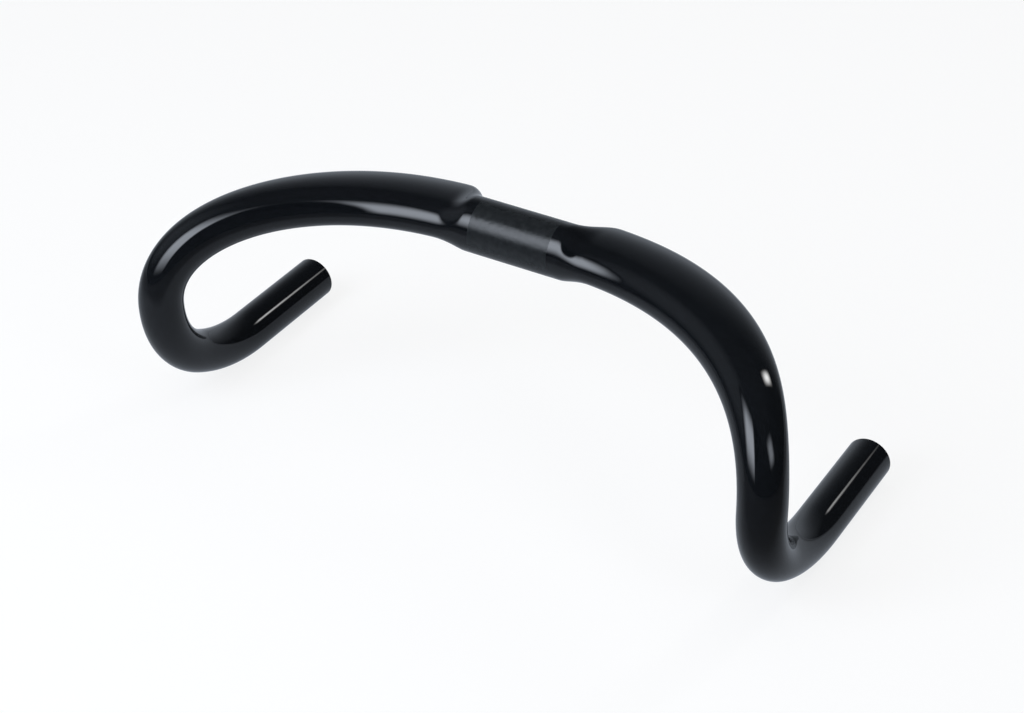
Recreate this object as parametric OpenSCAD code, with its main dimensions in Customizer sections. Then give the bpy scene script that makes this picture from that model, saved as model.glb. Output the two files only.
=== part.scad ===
// Drop handlebar for a road bicycle, moulded in one hollow piece of carbon fibre.
// A round middle length sits in the stem clamp. Flattened tops sweep outwards and
// forwards from it, bend down into round hooks, and end in two straight open drops.
// The origin is the middle of the clamp length. +X runs along the bar, -Y points
// forwards and +Z up, with the drops level. All sizes are in millimetres.

/* [Clamp] */
// Outer diameter of the round middle length that the stem grips
clamp_d = 31.8; // [25.4:0.2:35]
// Length of the round middle
clamp_len = 60; // [50:1:80]
// Wall thickness under the stem clamp
clamp_wall = 3; // [2:0.1:5]

/* [Size] */
// Width from the middle of one drop to the middle of the other
bar_w = 380; // [360:5:460]
// Distance from the clamp's middle forwards to the middle of the tube at the hooks
reach = 84; // [70:1:110]
// Height from the clamp's middle down to the middle of the drops
drop = 120; // [112:1:150]
// Outer diameter of the round tube in the hooks and drops
tube_d = 26; // [22:0.1:30]
// Wall thickness everywhere outside the clamp
wall = 2; // [1.2:0.1:3]

/* [Tops] */
// Half chord of the flattened section in front of the tube's middle line
wing_front = 15.5; // [13:0.5:20]
// Half chord of the flattened section behind the middle line
wing_rear = 29.5; // [16:0.5:34]
// Thickness of the flattened section
wing_thick = 23; // [18:0.5:32]
// Angle by which the rear edge of the flattened section is raised
wing_tilt = 4; // [-10:1:15]
// Share of the top over which the round middle swells into the flattened section
shoulder_end = 0.12; // [0.1:0.01:0.25]
// How much sooner than that the shoulder ends on top, and later underneath
shoulder_skew = 0.02; // [0:0.01:0.05]
// Share of the top from which the flattened section narrows down to the round tube
taper_start = 0.15; // [0.1:0.05:0.5]

/* [Sweep of the tops] */
// Straight run of the middle line past the clamp length
lead_out = 20; // [10:1:40]
// Distance in from the drops of the point that steers the inner part of the sweep
sweep_in = 66; // [50:1:90]
// Distance behind the clamp's middle of that point
sweep_back = 4; // [-10:1:15]
// Height of that point
sweep_z = -2; // [-15:1:15]
// Distance in from the drops of the point that steers the bend
bend_in = 23; // [5:1:40]
// Distance in front of the clamp's middle of that point
bend_fore = 50; // [30:1:65]
// Height of that point
bend_z = 3; // [-15:1:15]
// Height above the hook's start of the point that turns the bend downwards
bend_down = 40; // [20:1:55]

/* [Hooks and drops] */
// Radius of the upper hook, on the tube's middle line
hook_r = 55; // [45:1:62]
// Angle that the upper hook turns through
hook_turn = 60; // [40:1:75]
// Radius of the easier curve from the hook into the straight drop
heel_r = 100; // [65:1:120]
// Length of each straight drop
drop_len = 70; // [40:1:150]
// Chamfer that breaks the edges of each cut end
end_chamfer = 0.5; // [0.2:0.1:0.7]

/* [Hidden] */
$fn = 96;

half_w = bar_w / 2;
clamp_r = clamp_d / 2;
tube_r = tube_d / 2;

// The upper hook, the heel and the straight drop lie in one upright plane.
heel_shift = heel_r - hook_r;
hook_y = -reach + hook_r;
heel_y = hook_y + heel_shift * cos(hook_turn);
heel_z = -drop + heel_r;
hook_z = heel_z - heel_shift * sin(hook_turn);

// Steering points of one top's middle line, from the clamp length to the hook.
// The first two lie on the clamp's axis and the last two above the hook's start,
// so that the curve runs on smoothly at both ends.
sweep = [
    [clamp_len / 2, 0, 0],
    [clamp_len / 2 + lead_out, 0, 0],
    [half_w - sweep_in, sweep_back, sweep_z],
    [half_w - bend_in, -bend_fore, bend_z],
    [half_w, -reach, hook_z + bend_down],
    [half_w, -reach, hook_z]
];

// Stations along the sweep: close together in the shoulder, wider after it.
shoulder_rings = 10;
bend_rings = 19;
shoulder_last = shoulder_end + shoulder_skew;
stations = concat(
    [for (i = [0:shoulder_rings - 1]) shoulder_last * i / shoulder_rings],
    [for (i = [0:bend_rings]) shoulder_last + (1 - shoulder_last) * i / bend_rings]
);

// Sides of the lofted tops, outside and inside.
skin_sides = 40;
passage_sides = 24;

// Where two lengths of the tube meet, one runs into the other by the overlap and
// is smaller by the seat, so that the two close into one without a seam.
overlap = 0.2;
seat = 0.02;

// How far the passage is cut past the open ends.
overrun = 2;

// A point on the smooth curve that the steering points define.
function blend(a, b, t) = a + (b - a) * t;
function curve(p, t) =
    len(p) == 1 ? p[0] : curve([for (i = [0:len(p) - 2]) blend(p[i], p[i + 1], t)], t);

function unit(v) = v / norm(v);
function direction(t) = unit(curve([for (i = [0:len(sweep) - 2]) sweep[i + 1] - sweep[i]], t));

// A soft step from 0 to 1.
function step(t) = let (c = min(max(t, 0), 1)) c * c * (3 - 2 * c);
function soft_step(t) = let (c = min(max(t, 0), 1)) c * c * c * (c * (6 * c - 15) + 10);

// Where the shoulder ends at the angle a round the section: 0 is the rear edge,
// 90 the top and 180 the front edge.
function shoulder_at(a) = shoulder_end - shoulder_skew * sin(a);

// A size of the section that starts as the clamp's, is the wing's where the
// shoulder ends and is the tube's at the hook.
function along(t, end, clamp, wing, tube) =
    clamp + (wing - clamp) * step(t / end)
    + (tube - wing) * soft_step((t - taper_start) / (1 - taper_start));

// Direction from the front edge to the rear edge. It points to the rear at the
// clamp and turns outwards with the sweep.
function chord(t) =
    let (
        d = direction(t),
        aim = [t, 1 - t, (1 - t) * tan(wing_tilt) * step(t / shoulder_end)]
    )
    unit(aim - (aim * d) * d);

// One ring of the loft: two half ellipses of one thickness, joined at their widest.
// depth is how far the ring lies inside the outer surface: 0 for none, 1 for the wall.
function ring(t, depth, sides) =
    let (
        w = depth * along(t, shoulder_end, clamp_wall, wall, wall) + seat,
        c = chord(t),
        u = cross(direction(t), c),
        mid = curve(sweep, t)
    )
    [for (i = [0:sides - 1])
        let (
            a = 360 * i / sides,
            end = shoulder_at(a),
            wing = cos(a) > 0 ? wing_rear : wing_front,
            half_chord = along(t, end, clamp_r, wing, tube_r) - w,
            half_thick = along(t, end, clamp_r, wing_thick / 2, tube_r) - w
        )
        mid + half_chord * cos(a) * c + half_thick * sin(a) * u];

// Skins a row of rings that all have the same number of points.
module loft(rings) {
    sides = len(rings[0]);
    last = len(rings) - 1;
    points = [for (r = rings) for (p = r) p];
    start_cap = [for (i = [0:sides - 1]) i];
    end_cap = [for (i = [sides - 1:-1:0]) last * sides + i];
    skin = [for (k = [0:last - 1]) for (i = [0:sides - 1])
        let (
            a = k * sides + i,
            b = k * sides + (i + 1) % sides
        )
        each [[a, a + sides, b + sides], [a, b + sides, b]]];
    polyhedron(points, concat([start_cap, end_cap], skin));
}

// Turns a shape drawn flat so that it starts at the front and curves down and back.
module upright() {
    rotate([-90, 0, 0])
        rotate([0, 90, 0])
            children();
}

// Round tube bent through part of a circle, solid.
module bend(radius, from, to, r) {
    upright()
        rotate([0, 0, from])
            rotate_extrude(angle = to - from)
                translate([radius, 0])
                    circle(r = r);
}

// The flattened top with a short run into the clamp length and into the hook.
module top(depth) {
    sides = depth == 0 ? skin_sides : passage_sides;
    into_clamp = [for (p = ring(0, depth, sides)) p - overlap * direction(0)];
    into_hook = [for (p = ring(1, depth, sides)) p + overlap * direction(1)];
    loft(concat(
        [into_clamp],
        [for (t = stations) ring(t, depth, sides)],
        [into_hook]
    ));
}

// Straight drop with the outer edge of its cut end broken.
module drop_outside(r) {
    rotate_extrude()
        polygon([
            [0, -overlap],
            [r, -overlap],
            [r, drop_len - end_chamfer],
            [r - end_chamfer, drop_len],
            [0, drop_len]
        ]);
}

// Straight bore that opens a little at its mouth.
module drop_passage(r) {
    rotate_extrude()
        polygon([
            [0, -overlap],
            [r, -overlap],
            [r, drop_len - end_chamfer],
            [r + end_chamfer, drop_len],
            [r + end_chamfer, drop_len + overrun],
            [0, drop_len + overrun]
        ]);
}

// One top, hook and drop, as a solid form. depth 0 is the outer form and
// depth 1 is the passage inside it.
module side_form(depth) {
    r = tube_r - depth * wall;
    lap = overlap / hook_r * 180 / PI;
    top(depth);
    translate([half_w, hook_y, hook_z])
        bend(hook_r, 0, hook_turn + lap, r);
    translate([half_w, heel_y, heel_z])
        bend(heel_r, hook_turn, 90, r - seat);
    translate([half_w, heel_y, -drop])
        rotate([-90, 0, 0])
            if (depth == 0)
                drop_outside(r);
            else
                drop_passage(r);
}

// The whole bar as a solid form.
module bar_form(depth) {
    rotate([0, 90, 0])
        cylinder(r = clamp_r - depth * clamp_wall, h = clamp_len, center = true);
    side_form(depth);
    mirror([1, 0, 0])
        side_form(depth);
}

module handlebar() {
    color([0.07, 0.07, 0.08])
        difference() {
            bar_form(0);
            bar_form(1);
        }
}

handlebar();
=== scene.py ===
import math

import bpy
from mathutils import Matrix, Vector


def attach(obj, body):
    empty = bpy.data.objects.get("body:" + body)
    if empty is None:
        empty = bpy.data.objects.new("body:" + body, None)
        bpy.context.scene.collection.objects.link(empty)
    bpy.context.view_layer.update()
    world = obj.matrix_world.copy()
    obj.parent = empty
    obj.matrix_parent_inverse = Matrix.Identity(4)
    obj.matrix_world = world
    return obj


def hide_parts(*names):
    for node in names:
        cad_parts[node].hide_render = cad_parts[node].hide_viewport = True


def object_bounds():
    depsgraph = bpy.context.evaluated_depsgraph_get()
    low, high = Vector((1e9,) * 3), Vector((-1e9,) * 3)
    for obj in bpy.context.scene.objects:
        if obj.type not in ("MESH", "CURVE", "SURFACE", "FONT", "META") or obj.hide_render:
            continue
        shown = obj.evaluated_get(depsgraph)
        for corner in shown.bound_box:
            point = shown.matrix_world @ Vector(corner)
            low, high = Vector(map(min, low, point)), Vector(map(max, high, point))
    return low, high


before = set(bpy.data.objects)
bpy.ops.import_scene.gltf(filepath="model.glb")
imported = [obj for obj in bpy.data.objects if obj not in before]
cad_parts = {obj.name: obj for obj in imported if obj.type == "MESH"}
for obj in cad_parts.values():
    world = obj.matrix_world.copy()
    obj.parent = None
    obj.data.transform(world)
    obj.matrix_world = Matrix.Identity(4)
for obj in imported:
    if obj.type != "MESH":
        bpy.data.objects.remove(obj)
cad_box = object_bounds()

# HANDLEBAR
# The bar is one hollow moulding of carbon fibre cloth and resin. It is laid up and
# pressed in a closed mould, and its two drops are cut off square and left open. The
# skin below follows the rule that the moulding follows: one section, swept from the
# round clamp length along the top and round the hook to the end of the drop.

bar_sizes = {
    "Clamp radius": 0.0159,
    "Half clamp length": 0.030,
    "Half band width": 0.025,
    "Clamp wall": 0.003,
    "Tube radius": 0.013,
    "Wall": 0.002,
    "Half bar width": 0.190,
    "Reach": 0.084,
    "Drop": 0.120,
    "Wing front": 0.0155,
    "Wing rear": 0.0295,
    "Half wing thickness": 0.0115,
    "Wing tilt": math.radians(4),
    "Shoulder end": 0.12,
    "Shoulder skew": 0.02,
    "Taper start": 0.15,
    "Lead out": 0.020,
    "Sweep in": 0.066,
    "Sweep back": 0.004,
    "Sweep height": -0.002,
    "Bend in": 0.023,
    "Bend fore": 0.050,
    "Bend height": 0.003,
    "Bend down": 0.040,
    "Hook radius": 0.055,
    "Hook turn": math.radians(60),
    "Heel radius": 0.100,
    "Drop length": 0.070,
    "End chamfer": 0.0005,
}
bar_counts = {
    "Sides": 96,
    "Band rings": 6,
    "Clamp end rings": 3,
    "Top rings": 120,
    "Hook rings": 26,
    "Heel rings": 16,
    "Drop rings": 10,
}
# Points closer than this are one, and an edge sharper than this is kept sharp.
weld_distance = 0.00002
sharp_angle = math.radians(35)


class Field:
    """A number or a vector that a tree works out at every point of a mesh."""

    def __init__(self, tree, socket):
        self.tree = tree
        self.socket = socket
        self.is_vector = socket.type == "VECTOR"

    def work(self, operation, *others, place=1, output=0):
        """Adds one maths node that starts from this field."""
        kind = "ShaderNodeVectorMath" if self.is_vector else "ShaderNodeMath"
        node = self.tree.nodes.new(kind)
        node.operation = operation
        self.tree.links.new(self.socket, node.inputs[0])
        for number, other in enumerate(others):
            if isinstance(other, Field):
                self.tree.links.new(other.socket, node.inputs[place + number])
            else:
                node.inputs[place + number].default_value = other
        return Field(self.tree, node.outputs[output])

    def __add__(self, other):
        return self.work("ADD", other)

    def __sub__(self, other):
        return self.work("SUBTRACT", other)

    def __rsub__(self, other):
        return self.work("MULTIPLY", -1.0).work("ADD", other)

    def __neg__(self):
        return self * -1.0

    def __mul__(self, other):
        if isinstance(other, Field) and other.is_vector and not self.is_vector:
            return other * self
        if self.is_vector and isinstance(other, Field) and other.is_vector:
            return self.work("MULTIPLY", other)
        if self.is_vector:
            return self.work("SCALE", other, place=3)
        return self.work("MULTIPLY", other)

    def __truediv__(self, other):
        return self.work("DIVIDE", other)

    def dot(self, other):
        return self.work("DOT_PRODUCT", other, output=1)

    def cross(self, other):
        return self.work("CROSS_PRODUCT", other)

    def unit(self):
        return self.work("NORMALIZE")

    def cos(self):
        return self.work("COSINE")

    def sin(self):
        return self.work("SINE")

    def kept(self):
        """The number, held between 0 and 1."""
        return self.work("MAXIMUM", 0.0).work("MINIMUM", 1.0)


def point(tree, x, y, z):
    """A vector from three numbers or fields."""
    node = tree.nodes.new("ShaderNodeCombineXYZ")
    for place, value in zip(node.inputs, (x, y, z)):
        if isinstance(value, Field):
            tree.links.new(value.socket, place)
        else:
            place.default_value = value
    return Field(tree, node.outputs[0])


def steered(points, t):
    """The point at t of the smooth curve that a row of steering points sets."""
    while len(points) > 1:
        points = [a + (b - a) * t for a, b in zip(points, points[1:])]
    return points[0]


def moulded_bar():
    """The tree that makes the whole bar from its sizes."""
    tree = bpy.data.node_groups.new("moulded_bar", "GeometryNodeTree")
    tree.is_modifier = True
    for name in bar_sizes:
        tree.interface.new_socket(name, in_out="INPUT", socket_type="NodeSocketFloat")
    for name in bar_counts:
        tree.interface.new_socket(name, in_out="INPUT", socket_type="NodeSocketInt")
    for name in ("Gloss", "Band"):
        tree.interface.new_socket(name, in_out="INPUT", socket_type="NodeSocketMaterial")
    tree.interface.new_socket("Geometry", in_out="OUTPUT", socket_type="NodeSocketGeometry")
    given = tree.nodes.new("NodeGroupInput")
    size = {name: Field(tree, given.outputs[name]) for name in bar_sizes}
    place = Field(tree, tree.nodes.new("GeometryNodeInputPosition").outputs[0])
    parts = tree.nodes.new("ShaderNodeSeparateXYZ")
    tree.links.new(place.socket, parts.inputs[0])
    s = Field(tree, parts.outputs["X"]) + 0.5
    around = Field(tree, parts.outputs["Y"]) * math.tau

    def skin(rings, where):
        """A flat grid of rings and sides, bent to where the points belong. The rings
        are a number or the name of a count."""
        grid = tree.nodes.new("GeometryNodeMeshGrid")
        if isinstance(rings, str):
            tree.links.new(given.outputs[rings], grid.inputs["Vertices X"])
        else:
            grid.inputs["Vertices X"].default_value = rings
        sides = tree.nodes.new("ShaderNodeMath")
        tree.links.new(given.outputs["Sides"], sides.inputs[0])
        sides.inputs[1].default_value = 1
        tree.links.new(sides.outputs[0], grid.inputs["Vertices Y"])
        bent = tree.nodes.new("GeometryNodeSetPosition")
        tree.links.new(grid.outputs["Mesh"], bent.inputs["Geometry"])
        tree.links.new(where.socket, bent.inputs["Position"])
        return bent.outputs["Geometry"]

    def ring(turn, middle, heading, chord, rear, front, thick):
        """Two half ellipses of one thickness, joined where they are thickest."""
        c = (around * turn).cos()
        rise = heading.cross(chord)
        behind = c.work("GREATER_THAN", 0.0)
        half_chord = front + (rear - front) * behind
        return middle + chord * (half_chord * c) + rise * (thick * (around * turn).sin())

    # Where the hook, the heel and the drop have their middles.
    heel_shift = size["Heel radius"] - size["Hook radius"]
    hook_y = size["Hook radius"] - size["Reach"]
    heel_y = hook_y + heel_shift * size["Hook turn"].cos()
    heel_z = size["Heel radius"] - size["Drop"]
    hook_z = heel_z - heel_shift * size["Hook turn"].sin()
    far = size["Half bar width"]
    end_y = heel_y + size["Drop length"]

    # The top's middle line, its direction, and how its section swells and narrows.
    steering = [
        point(tree, size["Half clamp length"], 0.0, 0.0),
        point(tree, size["Half clamp length"] + size["Lead out"], 0.0, 0.0),
        point(tree, far - size["Sweep in"], size["Sweep back"], size["Sweep height"]),
        point(tree, far - size["Bend in"], -size["Bend fore"], size["Bend height"]),
        point(tree, far, -size["Reach"], hook_z + size["Bend down"]),
        point(tree, far, -size["Reach"], hook_z),
    ]
    top_middle = steered(steering, s)
    top_heading = steered([b - a for a, b in zip(steering, steering[1:])], s).unit()
    c = ((s - size["Taper start"]) / (1.0 - size["Taper start"])).kept()
    narrow = c * c * c * (c * (c * 6.0 - 15.0) + 10.0)

    def swelling(end):
        """The soft step from the clamp's section to the wing's."""
        c = (s / end).kept()
        return c * c * (3.0 - c * 2.0)

    # The chord points to the rear at the clamp and turns outwards with the sweep.
    tilt = size["Wing tilt"].work("TANGENT") * (1.0 - s) * swelling(size["Shoulder end"])
    aim = point(tree, s, 1.0 - s, tilt)
    top_chord = (aim - top_heading * aim.dot(top_heading)).unit()

    ahead = point(tree, 1.0, 0.0, 0.0)
    back = point(tree, 0.0, 1.0, 0.0)
    finished = []
    for inside in (0, 1):
        # The outside and the passage follow one rule. The passage lies inside by
        # the wall, and its faces look the other way.
        turn = 1.0 if inside else -1.0
        clamp_wall = size["Clamp wall"] * inside
        wall = size["Wall"] * inside
        clamp = size["Clamp radius"] - clamp_wall
        tube = size["Tube radius"] - wall
        # The shoulder ends sooner on top and later underneath.
        shoulder = swelling(size["Shoulder end"] - size["Shoulder skew"] * (around * turn).sin())
        top_wall = clamp_wall + (wall - clamp_wall) * swelling(size["Shoulder end"])

        def along(wing):
            return size["Clamp radius"] + (wing - size["Clamp radius"]) * shoulder \
                + (size["Tube radius"] - wing) * narrow - top_wall

        band = size["Half band width"]
        in_band = point(tree, band * s, 0.0, 0.0)
        past_band = point(tree, band + (size["Half clamp length"] - band) * s, 0.0, 0.0)
        phi = size["Hook turn"] * s
        hook = point(tree, far, hook_y - size["Hook radius"] * phi.cos(),
                     hook_z - size["Hook radius"] * phi.sin())
        hook_heading = point(tree, 0.0, phi.sin(), -phi.cos())
        psi = size["Hook turn"] + (math.pi / 2 - size["Hook turn"]) * s
        heel = point(tree, far, heel_y - size["Heel radius"] * psi.cos(),
                     heel_z - size["Heel radius"] * psi.sin())
        heel_heading = point(tree, 0.0, psi.sin(), -psi.cos())
        straight = (size["Drop length"] - size["End chamfer"]) * s
        drop = point(tree, far, heel_y + straight, -size["Drop"])
        lengths = [
            skin("Band rings", ring(turn, in_band, ahead, back, clamp, clamp, clamp)),
            skin("Clamp end rings", ring(turn, past_band, ahead, back, clamp, clamp, clamp)),
            skin("Top rings", ring(turn, top_middle, top_heading, top_chord,
                                   along(size["Wing rear"]), along(size["Wing front"]),
                                   along(size["Half wing thickness"]))),
            skin("Hook rings", ring(turn, hook, hook_heading, ahead, tube, tube, tube)),
            skin("Heel rings", ring(turn, heel, heel_heading, ahead, tube, tube, tube)),
            skin("Drop rings", ring(turn, drop, back, ahead, tube, tube, tube)),
        ]
        join = tree.nodes.new("GeometryNodeJoinGeometry")
        for length in reversed(lengths):
            tree.links.new(length, join.inputs[0])
        finished.append(join.outputs[0])

    # The cut end has three faces: a broken outer edge, the sawn face and a broken
    # inner edge. One ring more lies at their edges.
    faces = 3
    first, second, third = ((s * faces - number).kept() for number in range(faces))
    chamfer = size["End chamfer"]
    lip_r = size["Tube radius"] - chamfer * first - chamfer * third \
        - (size["Wall"] - chamfer * 2.0) * second
    lip_middle = point(tree, far, end_y - chamfer + chamfer * first - chamfer * third,
                       -size["Drop"])
    finished.append(skin(faces + 1, ring(-1.0, lip_middle, back, ahead,
                                         lip_r, lip_r, lip_r)))

    one_side = tree.nodes.new("GeometryNodeJoinGeometry")
    for piece in reversed(finished):
        tree.links.new(piece, one_side.inputs[0])
    mirrored = tree.nodes.new("GeometryNodeTransform")
    tree.links.new(one_side.outputs[0], mirrored.inputs["Geometry"])
    mirrored.inputs["Scale"].default_value = (-1.0, 1.0, 1.0)
    turned = tree.nodes.new("GeometryNodeFlipFaces")
    tree.links.new(mirrored.outputs[0], turned.inputs[0])
    both = tree.nodes.new("GeometryNodeJoinGeometry")
    tree.links.new(turned.outputs[0], both.inputs[0])
    tree.links.new(one_side.outputs[0], both.inputs[0])
    closed = tree.nodes.new("GeometryNodeMergeByDistance")
    tree.links.new(both.outputs[0], closed.inputs["Geometry"])
    closed.inputs["Distance"].default_value = weld_distance
    smooth = tree.nodes.new("GeometryNodeSetShadeSmooth")
    tree.links.new(closed.outputs[0], smooth.inputs["Geometry"])
    real = tree.nodes.new("GeometryNodeRealizeInstances")
    tree.links.new(smooth.outputs[0], real.inputs["Geometry"])

    # The whole bar is glossy, and the outside of its middle is left rough.
    glossy = tree.nodes.new("GeometryNodeSetMaterial")
    tree.links.new(real.outputs[0], glossy.inputs["Geometry"])
    tree.links.new(given.outputs["Gloss"], glossy.inputs["Material"])
    from_middle = Field(tree, parts.outputs["X"]).work("ABSOLUTE")
    from_axis = (place * point(tree, 0.0, 1.0, 1.0)).work("LENGTH", output=1)
    in_width = (size["Half band width"] - from_middle).work("GREATER_THAN", 0.0)
    mid_wall = size["Clamp radius"] - size["Clamp wall"] * 0.5
    on_outside = (from_axis - mid_wall).work("GREATER_THAN", 0.0)
    rough = tree.nodes.new("GeometryNodeSetMaterial")
    tree.links.new(glossy.outputs[0], rough.inputs["Geometry"])
    tree.links.new(given.outputs["Band"], rough.inputs["Material"])
    tree.links.new((in_width * on_outside).socket, rough.inputs["Selection"])
    result = tree.nodes.new("NodeGroupOutput")
    tree.links.new(rough.outputs[0], result.inputs["Geometry"])
    return tree


def shader(name):
    """A new material, its tree and its main shader."""
    material = bpy.data.materials.new(name)
    material.use_nodes = True
    tree = material.node_tree
    return material, tree, tree.nodes["Principled BSDF"]


def noise(tree, scale, detail, stretch=(1.0, 1.0, 1.0)):
    """Noise laid out in the object's own coordinates, scale in lumps to the metre."""
    where = tree.nodes.new("ShaderNodeTexCoord")
    lay = tree.nodes.new("ShaderNodeMapping")
    lay.inputs["Scale"].default_value = stretch
    lumps = tree.nodes.new("ShaderNodeTexNoise")
    lumps.inputs["Scale"].default_value = scale
    lumps.inputs["Detail"].default_value = detail
    tree.links.new(where.outputs["Object"], lay.inputs["Vector"])
    tree.links.new(lay.outputs["Vector"], lumps.inputs["Vector"])
    return lumps.outputs["Fac"]


def spread(tree, source, low, high, start=0.3, end=0.7):
    """Stretches a value from the range start to end onto low to high."""
    node = tree.nodes.new("ShaderNodeMapRange")
    tree.links.new(source, node.inputs["Value"])
    for place, value in (("From Min", start), ("From Max", end), ("To Min", low), ("To Max", high)):
        node.inputs[place].default_value = value
    return node.outputs["Result"]


def blend_colours(tree, share, low, high):
    """A colour between two, by a share."""
    node = tree.nodes.new("ShaderNodeMix")
    node.data_type = "RGBA"
    tree.links.new(share, node.inputs["Factor"])
    node.inputs["A"].default_value = (*low, 1.0)
    node.inputs["B"].default_value = (*high, 1.0)
    return node.outputs["Result"]


# Gloss: black carbon cloth under a thick polished clear coat.
gloss, tree, surface = shader("gloss_black_carbon")
fibres = noise(tree, 900.0, 3.0, (0.12, 1.0, 1.0))
colour = blend_colours(tree, spread(tree, fibres, 0.0, 1.0),
                       (0.0031, 0.0037, 0.0046), (0.0049, 0.0058, 0.0072))
tree.links.new(colour, surface.inputs["Base Color"])
tree.links.new(spread(tree, fibres, 0.42, 0.55), surface.inputs["Roughness"])
surface.inputs["Specular IOR Level"].default_value = 0.0
surface.inputs["Coat Weight"].default_value = 1.0
surface.inputs["Coat Roughness"].default_value = 0.03
surface.inputs["Coat IOR"].default_value = 1.4
bump = tree.nodes.new("ShaderNodeBump")
bump.inputs["Strength"].default_value = 0.05
bump.inputs["Distance"].default_value = 0.001
tree.links.new(noise(tree, 60.0, 1.0), bump.inputs["Height"])
tree.links.new(bump.outputs["Normal"], surface.inputs["Normal"])
tree.links.new(bump.outputs["Normal"], surface.inputs["Coat Normal"])

# Band: the same cloth where the stem grips, left rough with a fine grain.
grip, tree, surface = shader("matt_clamp_band")
grain = noise(tree, 330.0, 4.0)
colour = blend_colours(tree, spread(tree, grain, 0.0, 1.0),
                       (0.009, 0.0105, 0.0115), (0.016, 0.018, 0.0195))
tree.links.new(colour, surface.inputs["Base Color"])
tree.links.new(spread(tree, grain, 0.13, 0.26), surface.inputs["Roughness"])
surface.inputs["Specular IOR Level"].default_value = 0.22
bump = tree.nodes.new("ShaderNodeBump")
bump.inputs["Strength"].default_value = 0.12
bump.inputs["Distance"].default_value = 0.0007
tree.links.new(noise(tree, 420.0, 1.5), bump.inputs["Height"])
tree.links.new(bump.outputs["Normal"], surface.inputs["Normal"])

bar_tree = moulded_bar()
seed = bpy.data.objects.new("bar_seed", bpy.data.meshes.new("bar_seed"))
bpy.context.collection.objects.link(seed)
maker = seed.modifiers.new("moulding", "NODES")
maker.node_group = bar_tree
settings = {**bar_sizes, **bar_counts, "Gloss": gloss, "Band": grip}
for item in bar_tree.interface.items_tree:
    if item.in_out == "INPUT":
        maker[item.identifier] = settings[item.name]
made = bpy.data.meshes.new_from_object(seed.evaluated_get(bpy.context.evaluated_depsgraph_get()))
bpy.data.objects.remove(seed)
made.set_sharp_from_angle(angle=sharp_angle)
handlebar = bpy.data.objects.new("handlebar_moulding", made)
bpy.context.collection.objects.link(handlebar)
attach(handlebar, "root")
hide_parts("handlebar")

# CAMERA
# A long lens looks down on the bar from in front, on its +X side. The lights are named as
# seen from straight in front, with +X at the right. To the rider, +X is at the left.
view_turn = math.radians(31.0839)
view_rise = math.radians(34.2196)
view_roll = math.radians(-0.4467)
picture_width = 1024
focal_pixels = 2215.79
sensor_mm = 36.0
# Where the middle of the clamp length lies, seen from the camera.
clamp_right = 0.00464
clamp_up = 0.065164
clamp_ahead = 1.21664
right = Vector((math.cos(view_turn), math.sin(view_turn), 0.0))
up = Vector((-math.sin(view_turn) * math.sin(view_rise),
             math.cos(view_turn) * math.sin(view_rise), math.cos(view_rise)))
ahead = up.cross(right)
rolled_right = right * math.cos(view_roll) + up * math.sin(view_roll)
rolled_up = up * math.cos(view_roll) - right * math.sin(view_roll)
stand = -(rolled_right * clamp_right + rolled_up * clamp_up + ahead * clamp_ahead)
lens = bpy.data.cameras.new("camera")
lens.sensor_fit = "HORIZONTAL"
lens.sensor_width = sensor_mm
lens.lens = focal_pixels / picture_width * sensor_mm
lens.clip_start = 0.05
camera = bpy.data.objects.new("camera", lens)
bpy.context.collection.objects.link(camera)
aimed = Matrix((rolled_right, rolled_up, -ahead)).transposed().to_4x4()
camera.matrix_world = Matrix.Translation(stand) @ aimed
bpy.context.scene.camera = camera

# FLOOR
# A plain pale sheet lies under the bar, as far as the picture reaches. It ends just in
# front of the bar, and the floor runs on pale behind it. The gloss sees a painted
# reflection of the floor, painted dark in front of the bar.
floor_reach = 6.0
floor_z = cad_box[0][2]
# Depths and half widths, seen from the camera, between which the sheet fades.
sheet_front = (-0.34, -0.235)
sheet_side = (0.42, 0.66)
# Depths between which the painted reflection fades out in front and grows behind.
gloss_front = (-0.22, -0.13)
gloss_back = (0.2, 0.8)
# Levels and tint of the painted reflection: the glow seen on the sheet, the glow past its front
# edge, and the shares it keeps beside and behind the bar.
sheet_level = 0.43
dark_level = 0.04
beside_share = 0.3
behind_share = 0.9
gloss_tint = (0.88, 0.98, 1.13)
whitening = 0.85
sheet_paint = (0.90, 0.90, 0.90)
floor_paint = (0.75, 0.75, 0.76)
sheet_white = (0.99, 0.995, 1.0)
floor_white = (0.90, 0.90, 0.92)
mesh = bpy.data.meshes.new("floor")
mesh.from_pydata([(x * floor_reach, y * floor_reach, floor_z)
                  for x, y in ((-1, -1), (1, -1), (1, 1), (-1, 1))], [], [(0, 1, 2, 3)])
floor = bpy.data.objects.new("floor", mesh)
bpy.context.collection.objects.link(floor)
material, tree, surface = shader("pale_floor")
where = tree.nodes.new("ShaderNodeTexCoord")
turn = tree.nodes.new("ShaderNodeVectorRotate")
turn.rotation_type = "Z_AXIS"
turn.inputs["Angle"].default_value = -view_turn
tree.links.new(where.outputs["Object"], turn.inputs["Vector"])
split = tree.nodes.new("ShaderNodeSeparateXYZ")
tree.links.new(turn.outputs[0], split.inputs[0])
sideways = Field(tree, split.outputs["X"]).work("ABSOLUTE")
depth = split.outputs["Y"]
beside = Field(tree, spread(tree, sideways.socket, 1.0, 0.0, *sheet_side))
on_sheet = Field(tree, spread(tree, depth, 0.0, 1.0, *sheet_front)) * beside
tree.links.new(blend_colours(tree, on_sheet.socket, floor_paint, sheet_paint),
               surface.inputs["Base Color"])
surface.inputs["Roughness"].default_value = 0.9
surface.inputs["Specular IOR Level"].default_value = 0.0
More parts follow.
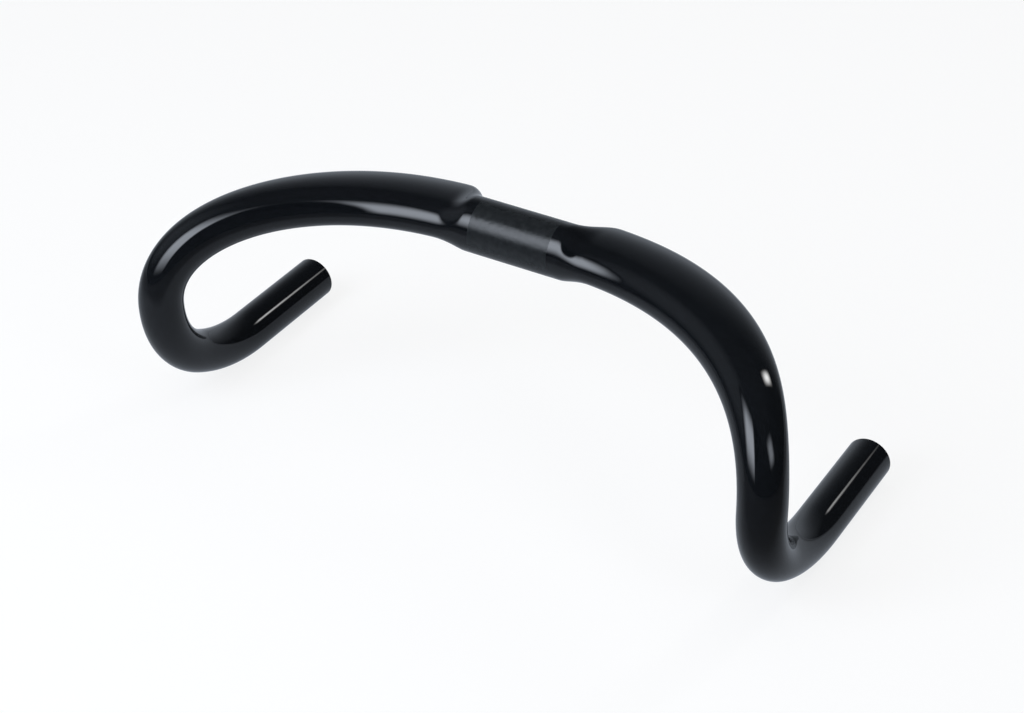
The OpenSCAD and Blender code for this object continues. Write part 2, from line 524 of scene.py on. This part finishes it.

# The camera sees the sheet white, with a faint shadow. The gloss sees a painted reflection:
# an emitted glow, less bright and bluer, with painted shade that makes it nearly black past
# its front edge and dimmer at the sides.
camera_sees = blend_colours(tree, on_sheet.socket, floor_white, sheet_white)
behind = Field(tree, spread(tree, depth, 0.0, behind_share, *gloss_back))
# Painted shade: the glow fades to black in front of the bar and drops to a share at the sides, but
# stays up behind.
painted_light_share = Field(tree, spread(tree, depth, 0.0, 1.0, *gloss_front)) \
    * (beside * (1.0 - beside_share) + beside_share).work("MAXIMUM", behind)
painted_floor_reflection = point(tree, *gloss_tint) * (painted_light_share * sheet_level + dark_level)
rays = tree.nodes.new("ShaderNodeLightPath")
mirrored = Field(tree, rays.outputs["Is Glossy Ray"]).work(
    "MAXIMUM", Field(tree, rays.outputs["Is Transmission Ray"]))
look = tree.nodes.new("ShaderNodeMix")
look.data_type = "RGBA"
tree.links.new(mirrored.socket, look.inputs["Factor"])
tree.links.new(camera_sees, look.inputs["A"])
tree.links.new(painted_floor_reflection.socket, look.inputs["B"])
# One glow for both: white backdrop for the camera, painted reflection for the gloss.
white_and_painted_glow = tree.nodes.new("ShaderNodeEmission")
tree.links.new(look.outputs["Result"], white_and_painted_glow.inputs["Color"])
seen = Field(tree, rays.outputs["Is Camera Ray"]).work("MAXIMUM", mirrored)
mixed = tree.nodes.new("ShaderNodeMixShader")
tree.links.new((seen * whitening).socket, mixed.inputs["Fac"])
tree.links.new(surface.outputs[0], mixed.inputs[1])
tree.links.new(white_and_painted_glow.outputs[0], mixed.inputs[2])
tree.links.new(mixed.outputs[0], tree.nodes["Material Output"].inputs["Surface"])
mesh.materials.append(material)


# LIGHT
# Three soft boxes: a tall one at the front left, one at the right and a narrow one
# behind on the right. A wide weak panel overhead lights the floor and stays out of the gloss.
bar_middle = Vector((0.0, -0.02, -0.05))


def soft_box(name, azimuth, elevation, distance, edges, fades, shine, tint=(1.0, 1.0, 1.0),
             slant=0.0, in_gloss=True):
    """A card turned to the bar, given by its left, right, lower and upper edge. It
    fades softly towards each edge, and its right edge may lean to the left."""
    azimuth, elevation = math.radians(azimuth), math.radians(elevation)
    outward = Vector((math.sin(azimuth) * math.cos(elevation),
                      -math.cos(azimuth) * math.cos(elevation), math.sin(elevation)))
    side = Vector((math.cos(azimuth), math.sin(azimuth), 0.0))
    rise = side.cross(-outward)
    middle = outward * distance + bar_middle
    left, right, low, high = edges
    far_right = right + abs(slant * low)
    places = [(left, low), (far_right, low), (far_right, high), (left, high)]
    mesh = bpy.data.meshes.new(name)
    mesh.from_pydata([middle + side * x + rise * y for x, y in places], [], [(0, 1, 2, 3)])
    flat = mesh.uv_layers.new(name="UVMap")
    for corner, place in zip(flat.data, places):
        corner.uv = place
    box = bpy.data.objects.new(name, mesh)
    bpy.context.collection.objects.link(box)
    material = bpy.data.materials.new(name)
    material.use_nodes = True
    tree = material.node_tree
    tree.nodes.clear()
    split = tree.nodes.new("ShaderNodeSeparateXYZ")
    tree.links.new(tree.nodes.new("ShaderNodeUVMap").outputs[0], split.inputs[0])
    x, y = Field(tree, split.outputs["X"]), Field(tree, split.outputs["Y"])
    glow = x * 0.0 + shine
    for inward, width in zip((x - left, right - (x + y * slant), y - low, high - y), fades):
        fade = tree.nodes.new("ShaderNodeMapRange")
        fade.interpolation_type = "SMOOTHSTEP"
        tree.links.new(inward.socket, fade.inputs["Value"])
        fade.inputs["From Max"].default_value = width
        glow = glow * Field(tree, fade.outputs["Result"])
    card = tree.nodes.new("ShaderNodeEmission")
    card.inputs["Color"].default_value = (*tint, 1.0)
    tree.links.new(glow.socket, card.inputs["Strength"])
    out = tree.nodes.new("ShaderNodeOutputMaterial")
    tree.links.new(card.outputs[0], out.inputs["Surface"])
    mesh.materials.append(material)
    box.visible_camera = False
    box.visible_glossy = in_gloss


cool = (0.93, 1.0, 1.12)
warm = (1.06, 1.0, 0.90)
soft_box("front_box", -24, 39, 1.6, edges=(-0.62, 0.472, -1.07, 0.88),
         fades=(0.38, 0.19, 1.02, 0.72), shine=8.9, tint=cool, slant=0.33)
soft_box("right_box", 72, 42, 1.6, edges=(-0.37, 0.37, -0.63, 0.37),
         fades=(0.31, 0.31, 0.42, 0.42), shine=4.6, tint=cool)
soft_box("rear_box", 153, 42, 1.6, edges=(-0.17, 0.11, -0.36, 0.36),
         fades=(0.14, 0.14, 0.36, 0.36), shine=21.0)
soft_box("overhead_box", 0, 89, 2.3, edges=(-1.8, 1.8, -1.8, 1.8),
         fades=(1.0, 1.0, 1.0, 1.0), shine=1.2, tint=warm, in_gloss=False)

# STUDIO
# The room around the bar is dark. It has a low glow at the rear left, a soft weak light at
# the left and a little light overhead. The camera sees it as a pale backdrop.
room_dark = (0.040, 0.045, 0.052)
room_glow = (0.50, 0.55, 0.62)
backdrop = (0.86, 0.86, 0.88, 1.0)
rear_left_way = (-0.5, 0.866, 0.0)
rear_left_edge = (0.55, 0.95)
low_edge = (0.15, 0.75)
left_way = (-0.778, -0.223, 0.588)
left_edge = (0.86, 0.98)
left_share = 0.60
overhead_edge = (0.75, 0.95)
overhead_share = 0.07
world = bpy.data.worlds.new("studio")
bpy.context.scene.world = world
world.use_nodes = True
tree = world.node_tree
where = tree.nodes.new("ShaderNodeTexCoord")
split = tree.nodes.new("ShaderNodeSeparateXYZ")
tree.links.new(where.outputs["Generated"], split.inputs[0])
outward = Field(tree, where.outputs["Generated"])
height = split.outputs["Z"]
to_rear_left = outward.dot(point(tree, *rear_left_way))
rear_left = Field(tree, spread(tree, to_rear_left.socket, 0.0, 1.0, *rear_left_edge))
low_down = Field(tree, spread(tree, height, 1.0, 0.0, *low_edge))
to_left = outward.dot(point(tree, *left_way))
at_left = Field(tree, spread(tree, to_left.socket, 0.0, left_share, *left_edge))
overhead = Field(tree, spread(tree, height, 0.0, overhead_share, *overhead_edge))
glow_share = rear_left * low_down + at_left + overhead
rays = tree.nodes.new("ShaderNodeLightPath")
look = tree.nodes.new("ShaderNodeMix")
look.data_type = "RGBA"
tree.links.new(rays.outputs["Is Camera Ray"], look.inputs["Factor"])
tree.links.new(blend_colours(tree, glow_share.socket, room_dark, room_glow), look.inputs["A"])
look.inputs["B"].default_value = backdrop
tree.links.new(look.outputs["Result"], tree.nodes["Background"].inputs["Color"])

bpy.context.scene.view_settings.view_transform = "Standard"
